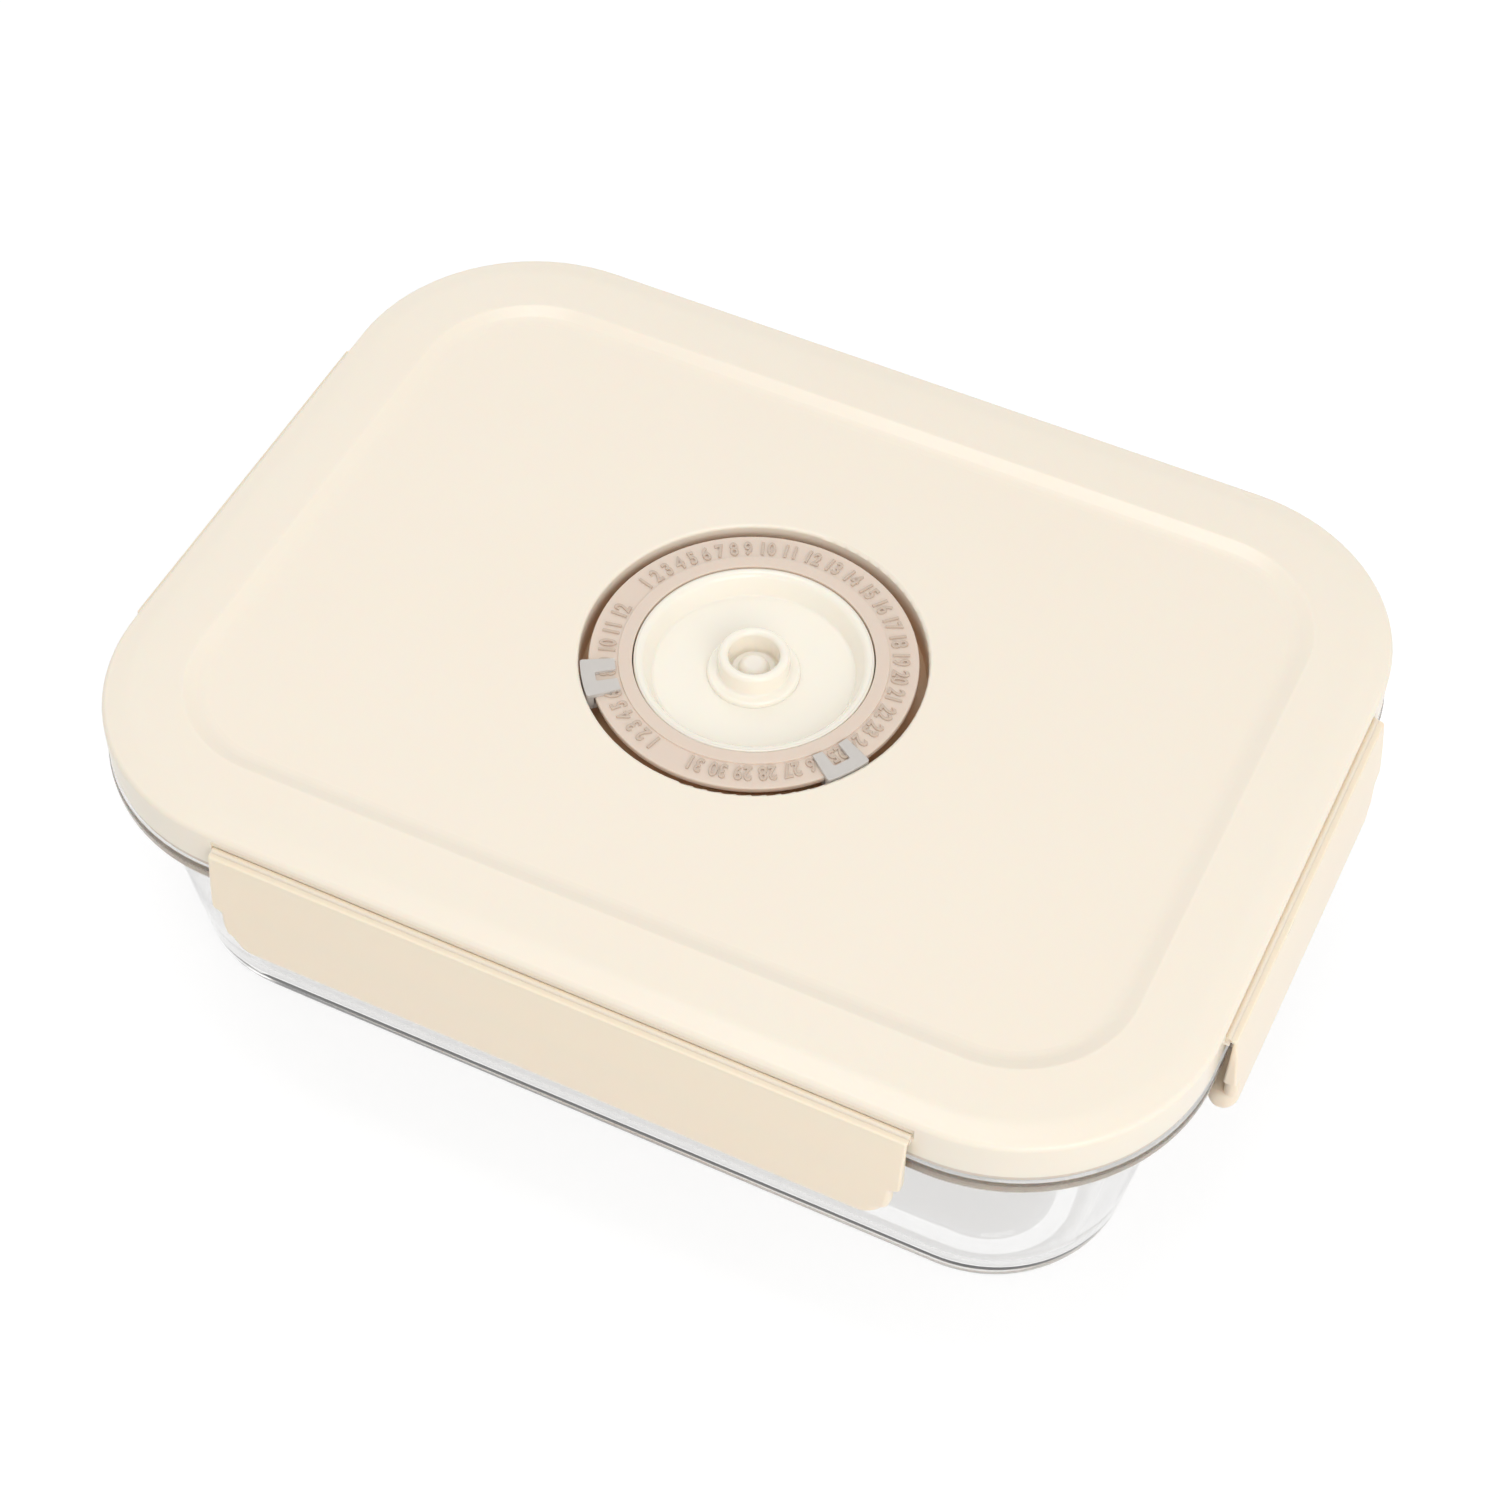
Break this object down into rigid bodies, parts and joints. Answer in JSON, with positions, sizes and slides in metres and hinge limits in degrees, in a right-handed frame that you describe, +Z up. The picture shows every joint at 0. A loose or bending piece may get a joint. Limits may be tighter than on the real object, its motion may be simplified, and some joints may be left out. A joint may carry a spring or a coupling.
{
  "type": "vacuum seal canister",
  "caption": "Rectangular clear glass food canister with a latching cream lid, a perimeter seal, a date dial with sliding markers and a one-way air valve for a hand pump.",
  "frame": {"origin": "middle of the base that the glass box stands on", "axes": "+X along the long side, +Y towards the back, +Z up through the dial and the valve"},
  "size_m": [0.2094, 0.158, 0.0646],
  "materials": {
    "clear_glass": "clear, polished, thick pressed glass",
    "cream_plastic": "warm cream plastic with a fine satin surface",
    "cream_gloss": "warm cream plastic, glossier than the lid",
    "taupe_plastic": "light taupe plastic, satin",
    "frosted_plastic": "frosted, slightly translucent plastic",
    "taupe_silicone": "taupe silicone, matt",
    "white_silicone": "white silicone, slightly translucent"
  },
  "bodies": {
    "container": {"glass_container": "clear_glass"},
    "lid": {"lid_shell": "cream_plastic", "lid_gasket": "taupe_silicone", "date_ring": "taupe_plastic", "valve_cup": "cream_gloss", "valve_nozzle": "cream_gloss", "valve_washer": "white_silicone", "valve_nut": "cream_plastic"},
    "front_latch": {"front_latch": "cream_plastic"},
    "back_latch": {"back_latch": "cream_plastic"},
    "left_latch": {"left_latch": "cream_plastic"},
    "right_latch": {"right_latch": "cream_plastic"},
    "month_marker": {"month_marker": "frosted_plastic"},
    "day_marker": {"day_marker": "frosted_plastic"},
    "valve_plug": {"valve_plug": "white_silicone"}
  },
  "joints": [
    {"name": "lid_lift", "type": "slide", "parent": "container", "child": "lid", "axis": [0, 0, 1], "range_m": [0, 0.012]},
    {"name": "front_latch_hinge", "type": "hinge", "parent": "lid", "child": "front_latch", "pos_m": [0, -0.0757, 0.0598], "axis": [-1, 0, 0], "range_deg": [0, 110.5]},
    {"name": "back_latch_hinge", "type": "hinge", "parent": "lid", "child": "back_latch", "pos_m": [0, 0.0757, 0.0598], "axis": [1, 0, 0], "range_deg": [0, 110.5]},
    {"name": "left_latch_hinge", "type": "hinge", "parent": "lid", "child": "left_latch", "pos_m": [-0.1014, 0, 0.0598], "axis": [0, 1, 0], "range_deg": [0, 110.5]},
    {"name": "right_latch_hinge", "type": "hinge", "parent": "lid", "child": "right_latch", "pos_m": [0.1014, 0, 0.0598], "axis": [0, -1, 0], "range_deg": [0, 110.5]},
    {"name": "month_marker_turn", "type": "hinge", "parent": "lid", "child": "month_marker", "pos_m": [0, 0, 0.0632], "axis": [0, 0, 1], "range_deg": [-34, 38]},
    {"name": "day_marker_turn", "type": "hinge", "parent": "lid", "child": "day_marker", "pos_m": [0, 0, 0.0632], "axis": [0, 0, 1], "range_deg": [-56, 195]},
    {"name": "plug_lift", "type": "slide", "parent": "lid", "child": "valve_plug", "axis": [0, 0, 1], "range_m": [0, 0.001]}
  ],
  "couplings": [
    {"joint": "front_latch_hinge", "follows": "lid_lift", "rad_per_m": 160},
    {"joint": "back_latch_hinge", "follows": "lid_lift", "rad_per_m": 160},
    {"joint": "left_latch_hinge", "follows": "lid_lift", "rad_per_m": 160},
    {"joint": "right_latch_hinge", "follows": "lid_lift", "rad_per_m": 160}
  ]
}
